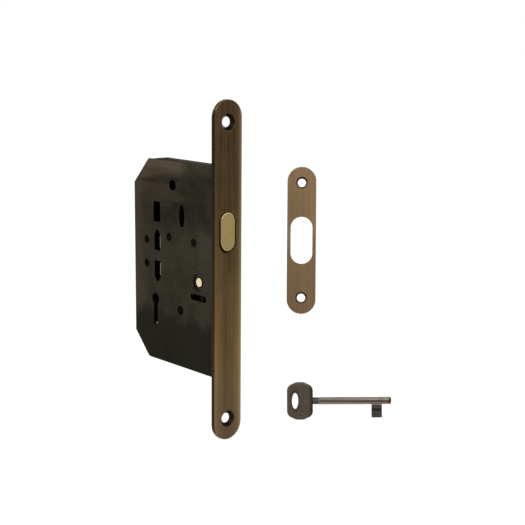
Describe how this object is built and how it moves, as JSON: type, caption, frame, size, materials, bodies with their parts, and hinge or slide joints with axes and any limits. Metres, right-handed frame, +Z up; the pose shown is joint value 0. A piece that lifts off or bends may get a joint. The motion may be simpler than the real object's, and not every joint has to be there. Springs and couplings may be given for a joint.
{
  "type": "sliding door lock",
  "caption": "Mortise hook lock for a sliding door: round-ended forend, bevelled steel case, swinging brass hook, with its strike plate and bit key.",
  "frame": {"origin": "centre of the forend's front face, midway between its two screw holes", "axes": "+X out of the door's edge, square to the forend; +Z up along the forend; -Y towards the near broad side of the case"},
  "size_m": [0.106, 0.1857, 0.2284],
  "materials": {
    "forend_bronze": "antique bronze plating, brushed along its length",
    "strike_bronze": "antique bronze plating, brushed along its length, lighter",
    "case_steel": "dark burnished sheet steel",
    "zinc_steel": "zinc plated",
    "post_steel": "burnished",
    "dark_steel": "burnished",
    "spring_wire": "drawn spring wire",
    "pin_brass": "turned",
    "hook_brass": "satin brass",
    "bush_plastic": "black moulded",
    "key_bow_bronze": "dark bronze, satin",
    "key_bronze": "bronze plated, polished along its length"
  },
  "bodies": {
    "case": {"forend": "forend_bronze", "case_tray": "case_steel", "case_cover": "case_steel", "key_guide_plate": "zinc_steel", "upper_post": "post_steel", "spring_post": "post_steel", "low_post": "post_steel", "slide_post": "post_steel", "slide_washer": "zinc_steel", "pivot_pin": "pin_brass", "pivot_bush_near": "bush_plastic", "pivot_bush_far": "bush_plastic", "hub_washer_near": "zinc_steel", "hub_washer_far": "zinc_steel", "toggle_spring": "spring_wire", "strike_plate": "strike_bronze", "key_bow": "key_bow_bronze", "key_collar": "key_bow_bronze", "key_blade": "key_bronze"},
    "hook": {"hook_bolt": "hook_brass"},
    "drive": {"drive_slide": "zinc_steel", "drive_stud": "dark_steel", "stud_collar": "zinc_steel"}
  },
  "joints": [
    {"name": "hook_swing", "type": "hinge", "parent": "case", "child": "hook", "pos_m": [-0.0174, 0, -0.007], "axis": [0, 1, 0], "range_deg": [0, 36]},
    {"name": "drive_travel", "type": "slide", "parent": "case", "child": "drive", "axis": [-1, 0, 0], "range_m": [0, 0.00598], "deforming": ["toggle_spring"]}
  ],
  "couplings": [
    {"joint": "drive_travel", "follows": "hook_swing", "m_per_rad": 0.0095151}
  ]
}
